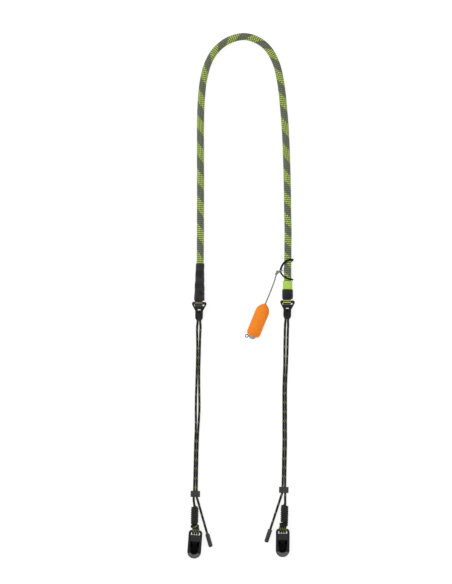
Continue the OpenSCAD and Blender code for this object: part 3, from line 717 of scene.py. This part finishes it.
def make_stage():
    bm = bmesh.new()
    bmesh.ops.create_grid(bm, x_segments=1, y_segments=1, size=4)
    mesh = bpy.data.meshes.new("floor")
    bm.to_mesh(mesh)
    bm.free()
    floor = bpy.data.objects.new("floor", mesh)
    bpy.context.scene.collection.objects.link(floor)
    material, tree, shader = new_material("pale floor")
    place = object_place(tree)
    tone = ranged(tree, speckle(tree, place, 30.0), 0.3, 0.7, 0.0, 1.0)
    feed(tree, shader.inputs["Base Color"], mixed(tree, tone, (0.3, 0.3, 0.3, 1), (0.33, 0.33, 0.33, 1)))
    shader.inputs["Emission Color"].default_value = (1, 1, 1, 1)
    shader.inputs["Emission Strength"].default_value = 0.8
    shader.inputs["Roughness"].default_value = 0.9
    mesh.materials.append(material)
    floor.location = (0, 0.16, -0.0002)
    world = bpy.data.worlds.new("studio")
    bpy.context.scene.world = world
    world.use_nodes = True
    world.node_tree.nodes["Background"].inputs[0].default_value = (1, 1, 1, 1)
    world.node_tree.nodes["Background"].inputs[1].default_value = 0.22
    bpy.context.scene.view_settings.view_transform = "Standard"
    make_light("left softbox", (-1.3, 0.3, 1.1), (0.6, 2.0), 14)
    make_light("right softbox", (1.3, 0.1, 1.1), (0.6, 2.0), 9)
    make_light("top softbox", (-0.1, 1.7, 1.2), (2.0, 0.6), 12)
    make_light("foot softbox", (0.1, -1.3, 1.2), (2.0, 0.6), 6)


make_camera()
make_stage()


# --- The rope, its sleeves and its ends ---

def sleeve_point(side, along):
    s = SIDES[side]
    turn = math.radians(s["sleeve_turn"])
    return (s["bar"][0] - along * math.sin(turn), s["bar"][1] + along * math.cos(turn), AXIS_Z)


def make_rope():
    """The shoulder rope. Its rows of yarns keep their pitch, and where it was twisted as it was laid out,
    its colour bands come closer together."""
    left = [sleeve_point("left", d) for d in (25, 40, 55.9)]
    right = [sleeve_point("right", d) for d in (102, 77, 52, 15)]
    route = left + [(x, y, ROPE_R + z) for x, y, z in ROPE_MIDDLE] + right
    line = smooth_line([Vector(p) * MM for p in route], 0.003)
    along = distances(line)
    marks = [c * MM for c in BAND_CENTRES]

    def bands(distance):
        i = sum(1 for m in marks[1:-1] if m <= distance)
        return i + (distance - marks[i]) / (marks[i + 1] - marks[i])

    lay = [d / (BAND_LAY * MM) for d in along]
    rope = cord_piece("shoulder_rope_braid", line, ROPE_R * MM, rope_finish, "rope", "shoulder_rope",
                      32, lay, twist=[bands(d) - v for d, v in zip(along, lay)])


def make_sleeves():
    long_profile = [(-55.4, 5.0), (-55.4, 5.5), (-55.0, 5.9), (-54.2, 6.0), (-52, 6.0), (-49, 6.0), (-46, 6.05),
                    (-43, 6.1), (-40, 6.2), (-37, 6.3), (-34, 6.4), (-31, 6.5), (-28, 6.6), (-25, 6.7),
                    (-22, 6.8), (-19, 6.9), (-16, 7.0), (-13, 7.15), (-10, 7.25), (-7, 7.35), (-4.8, 7.3),
                    (-3.9, 7.0), (-3.5, 6.6), (-3.4, 6.0)]
    turned_piece("long_shrink_sleeve", in_sleeve("left"), long_profile, shrink_finish, "rope",
                 "left_sleeve", 64, 0.5, 3.1)
    short_profile = [(-17.4, 5.0), (-17.4, 6.8), (-17.1, 7.3), (-16.3, 7.5), (-14, 7.6), (-11, 7.65),
                     (-9, 7.65), (-6.5, 7.6), (-4.6, 7.5), (-3.8, 7.2), (-3.45, 6.8), (-3.4, 6.0)]
    turned_piece("short_textile_sleeve", in_sleeve("right"), short_profile, textile_finish, "rope",
                 "right_sleeve", 64, 0.3, 7.7)
    band_profile = [(-29.4, 5.0), (-29.4, 6.0), (-29.1, 6.4), (-28.4, 6.7), (-26, 6.78), (-23, 6.8),
                    (-20, 6.8), (-18, 6.75), (-17.45, 6.6)]
    turned_piece("neon_whipping", in_sleeve("right"), band_profile, band_finish, "rope", "right_band",
                 64, 0.12, 1.3)


def make_rope_end(side, stem, finish):
    """The rope's sheath, flattened and doubled round the ring's bar."""
    reach = BAR_R + BAR_GAP + 0.8
    outline = [(stem, -1.3), (12, -1.4), (6, -1.9), (2.5, -2.7)]
    outline += [(-reach * math.cos(a), reach * math.sin(a)) for a in
                [math.radians(d) for d in range(-80, 81, 20)]]
    outline += [(2.5, 2.7), (6, 1.9), (12, 1.4), (stem, 1.3)]
    points = placed(in_sleeve(side), [(-0.8, y, z) for y, z in outline])
    line = smooth_line(points, 0.0007)
    across = in_sleeve(side).to_3x3() @ Vector((0, 0, 1))
    bm = swept(line, flat_section, 32, lambda k: (TAPE_HALF_WIDTH * MM, TAPE_HALF_THICKNESS * MM), None,
               across)
    piece = finished(side + "_flattened_sheath", bm, finish, "rope")
    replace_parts(piece, side + "_rope_end")


make_rope()
make_sleeves()
make_rope_end("left", 24, khaki_tape_finish)
make_rope_end("right", 14, neon_tape_finish)


# --- The legs ---

def strand_route(side, which):
    s = SIDES[side]
    hand = s["main"] if which == "main" else -s["main"]
    tilt = math.radians(RING_TILT)
    foot_x = s["upper"][which][0][0] / 2 + hand * (STRAND_X + 0.1)
    points = [(x, y * math.cos(tilt), AXIS_Z + y * math.sin(tilt)) for x, y in
              ((hand * TURN_R, PIN_Y), (hand * TURN_R, PIN_Y - 2), (foot_x, -RING_LENGTH - 1))]
    points += [(shift + hand * (STRAND_X + extra), -d, BORE_Z) for shift, extra, d in s["upper"][which]]
    points += [(hand * STRAND_X, -d, BORE_Z) for d in (s["lock"] - 44, s["lock"] - 22)]
    lock_foot = s["lock"] + LOCK_HALF
    points += [(hand * (STRAND_X + SPREAD * 0.4), -s["lock"], BORE_Z),
               (hand * (STRAND_X + SPREAD), -lock_foot, BORE_Z)]
    if which == "main":
        points += [(hand * (STRAND_X + SPREAD), -KNOT_TOP + 7, BORE_Z + (KNOT_R - BORE_Z) * 0.4),
                   (s["knot_shift"] + hand * 0.8, -KNOT_TOP, KNOT_R - 0.6)]
    else:
        slope = math.radians(TAIL_ANGLE)
        for share, rise in ((0.15, 0), (0.4, 0), (0.65, 0), (0.85, 0.6), (1, 1), (1.09, 1)):
            reach = share * TAIL_FOOT
            points.append((hand * (STRAND_X + SPREAD + reach * math.sin(slope)),
                           -(lock_foot + reach * math.cos(slope)),
                           BORE_Z + (CORD_END_R - BORE_Z) * rise))
    return placed(in_leg(side), points)


def make_strands(side):
    body = side + "_leg"
    for which in ("main", "tail"):
        node = f"{side}_{which}_strand"
        line = smooth_line(strand_route(side, which), 0.0016)
        strand = cord_piece(node + "_braid", line, CORD_R * MM, cord_finish, body, node, 16)
    turn = [(TURN_R * math.cos(math.radians(a)), PIN_Y + TURN_R * math.sin(math.radians(a)), 0)
            for a in range(0, 181, 15)]
    cord_piece(side + "_cord_turn_braid", placed(in_ring(side), turn), CORD_R * MM, shaded_cord_finish, body,
               side + "_cord_turn", 16)


def make_knot(side):
    """One strand wrapped in close turns round a core, with both its ends tucked in."""
    s = SIDES[side]
    steps = 18  # in each turn
    first = -KNOT_TOP - 3.0
    length = KNOT_FOOT - KNOT_TOP - CORD_R - 2.2
    wrap = []
    for k in range(round(KNOT_WRAP_TURNS * steps) + 1):
        angle = 2 * math.pi * k / steps + (0.6 if side == "left" else 2.1)
        share = k / (KNOT_WRAP_TURNS * steps)
        taper = 0.6 * max(0.0, 1 - share * KNOT_WRAP_TURNS) ** 2
        radius = (KNOT_R - CORD_R + 0.25 - taper) * (1 + 0.015 * math.sin(k * 0.7))
        wrap.append((s["knot_shift"] + radius * math.cos(angle), first - share * length,
                     KNOT_R + radius * math.sin(angle)))

    def tucked(point, along):
        x, y, z = point
        return ((s["knot_shift"] * 2 + x) / 3, y + along, (KNOT_R * 2 + z) / 3)

    route = [tucked(wrap[0], -2.2)] + wrap + [tucked(wrap[-1], 2.2)]
    body = side + "_leg"
    cord_piece(side + "_knot_wrap", smooth_line(placed(in_leg(side), route), 0.0011), CORD_R * MM, knot_lit_finish,
               body, side + "_knot", 12, first_up=(0, 1, 0.2))
    hand = s["main"]
    radii = [1.65, 1.8, 2.4] + [2.6] * 15 + [2.4]
    core = [(s["knot_shift"] + hand * 0.8, -KNOT_TOP + 1.0, KNOT_R - 0.6),
            (s["knot_shift"] + hand * 0.6, -KNOT_TOP - 0.6, KNOT_R - 0.4)]
    core += [(s["knot_shift"], -KNOT_TOP - 2.2 - k * 1.6, KNOT_R) for k in range(len(radii) - 2)]
    bm = swept(placed(in_leg(side), core), round_section, 24, lambda k: (radii[k] * MM, radii[k] * MM))
    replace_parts(finished(side + "_knot_core", bm, knot_lit_finish, body), side + "_knot")


def make_clip_loops(side):
    """Three bights go round the clip's bar, and a turn of cord draws them together under the knot."""
    body = side + "_leg"
    collar_y = LEG_LENGTH - KNOT_FOOT - 2.4
    lean = SIDES[side]["collar_shift"]
    for hand, tag in ((-1, "a"), (0, "b"), (1, "c")):
        front = [(lean + hand * 2.2, collar_y + 2.2, 1.5), (lean * 0.8 + hand * 2.6, collar_y, 1.7),
                 (lean * 0.25 + hand * 3.3, 4.2, 2.4), (hand * BIGHT_GAP, 2.0, 2.9)]
        bight = [(hand * BIGHT_GAP, -BIGHT_R * math.sin(math.radians(a)), BIGHT_R * math.cos(math.radians(a)))
                 for a in range(10, 171, 20)]
        back = [(x, y, -z) for x, y, z in reversed(front)]
        line = smooth_line(placed(in_clip(side), front + bight + back), 0.0009)
        cord_piece(f"{side}_clip_bight_{tag}", line, CORD_R * MM, shaded_cord_finish, body,
                   side + "_clip_loop", 16, first_up=(1, 0, 0.1))
    turn = []
    for k in range(37):
        angle = math.radians(k * 20 + (215 if side == "left" else 145))
        turn.append((lean + COLLAR_HALF_WIDTH * math.cos(angle), collar_y + 1.4 - k * COLLAR_FALL,
                     COLLAR_HALF_DEPTH * math.sin(angle)))
    cord_piece(side + "_collar_turn", smooth_line(placed(in_clip(side), turn), 0.001), CORD_R * MM,
               shaded_cord_finish, body, side + "_clip_loop", 12, first_up=(0, 1, 0.2))


def shaded_socket(piece, side):
    """The clip's socket is painted near black and dull, as painted shade inside it, while its outside is
    polished.
    """
    piece.data.materials.append(socket_shade_finish)
    back = in_clip(side).inverted()
    for face in piece.data.polygons:
        x, y, z = back @ (face.center / MM)
        outer = z > SOCKET_FRONT and face.normal.z > 0.3
        within = abs(x) < SOCKET_HALF_WIDTH and abs(z) < SOCKET_HALF_DEPTH and SOCKET_FOOT < y < SOCKET_TOP
        if within and not outer:
            face.material_index = 1


def make_fittings(side):
    softened(side + "_ring", side + "_moulded_ring", ring_finish, side + "_ring", 0.7)
    softened(side + "_lock", side + "_moulded_lock", lock_finish, side + "_lock", 0.5)
    softened(side + "_cord_end", side + "_moulded_cord_end", end_finish, side + "_leg", 0.3)
    shell = softened(side + "_clip_housing", side + "_clip_shell", shell_finish, side + "_clip", 1.3, 4)
    shaded_socket(shell, side)
    softened(side + "_clip_face", side + "_clip_plate", plate_finish, side + "_clip", 0.25)
    softened(side + "_clip_tongue", side + "_clip_spring_tongue", tongue_shade_finish, side + "_tongue",
             0.25)
    for node in ("_ring_pin", "_tongue_pin"):
        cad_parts[side + node].data.materials.clear()
        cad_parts[side + node].data.materials.append(steel_finish)


for side in SIDES:
    make_strands(side)
    make_knot(side)
    make_clip_loops(side)
    make_fittings(side)


# --- The hitch, the tether and the float ---

def make_hitch():
    centre = Vector(sleeve_point("right", HITCH_ALONG))
    line = smooth_line([(centre + Vector(p)) * MM for p in HITCH_ROUTE], 0.0009)
    half = len(line) / 2
    cord_piece("hitch_cord", line, lambda k: (HITCH_FRONT_R if k < half else HITCH_BACK_R) * MM, hitch_finish,
               "hitch", "hitch_loop", 12)
    return centre


def make_tether(centre):
    eye = [(-13.4, -1.5, 0.9), (-12.2, -0.7, 2.6), (-10.3, -0.2, 3.3), (-8.5, 0.1, 2.4), (-7.8, 0.2, 1.0),
           (-8.5, 0.1, -0.4), (-10.2, -0.2, -1.0), (-12.2, -0.9, -0.2), (-13.4, -1.7, 1.3)]
    line = smooth_line([(centre + Vector(p)) * MM for p in eye], 0.0006)
    cord_piece("tether_eye", line, TETHER_KNOT_R * MM, tether_finish, "tether_knot",
               "tether_knot", 12)
    # The knot is two turns of the tether round itself, along its own line, and its short cut end.
    ahead = Vector((-0.75, -0.66, 0)).normalized()
    across = Vector((-ahead.y, ahead.x, 0))
    middle = Vector((-14.4, -2.2, 1.3))
    turn = []
    for k in range(38):
        angle = 2 * math.pi * k / 16
        turn.append(middle + ahead * (-1.9 + 3.8 * k / 37) + across * 1.55 * math.cos(angle)
                    + Vector((0, 0, 1.55 * math.sin(angle))))
    line = smooth_line([(centre + p) * MM for p in turn], 0.0006)
    cord_piece("tether_knot_turns", line, TETHER_KNOT_R * MM, tether_finish, "tether_knot",
               "tether_knot", 12)
    end = [middle - ahead * 2.2, middle, middle + ahead * 2.6, middle + ahead * 4.4 + Vector((0, 0, -0.4))]
    line = smooth_line([(centre + p) * MM for p in end], 0.0006)
    cord_piece("tether_cut_end", line, TETHER_KNOT_R * MM, tether_finish, "tether_knot",
               "tether_knot", 12)
    into_float = [in_float() @ Vector((0, d, 0)) for d in (3, -4)]
    route = [Vector(p) * MM for p in TETHER_ROUTE] + [p * MM for p in into_float]
    line = smooth_line(route, 0.0012)
    tether = cord_piece("tether_braid", line, TETHER_R * MM, tether_finish, "float", "tether_cord", 12)


def make_float():
    """The float's body, turned round its axis with a slight random waviness, and softly dented where its foot
    was cut.
    """
    profile = [(-0.2, 1.3), (0, 1.5), (0.3, 2.2), (1.2, 3.4), (2.5, 4.9), (4.4, 6.8), (6.4, 8.2), (8.6, 9.2),
               (11, 9.7), (14, 9.8), (18, 9.8), (23, 9.8), (28, 9.8), (33, 9.8), (38, 9.8), (42.5, 9.8),
               (44.5, 9.6), (46.2, 9.0), (47.4, 8.2), (48.1, 7.3), (48.4, 6.4), (48.5, 5.6), (48.3, 5.2)]
    turned_piece("foam_float", in_float(), profile, foam_finish, "float", "float_body", 72, 0.25, 5.2)
    softened("float_cap", "float_cap_moulding", cap_finish, "float_cap", 0.35)
    loop = [(-7.3 + 2 * math.cos(math.radians(a)), -51.1 + 2 * math.sin(math.radians(a)), 0)
            for a in range(0, 361, 15)]
    cord_piece("pull_loop_cord", placed(in_float(), loop), 0.55 * MM, hitch_finish, "float_cap",
               "pull_loop", 10)


make_tether(make_hitch())
make_float()
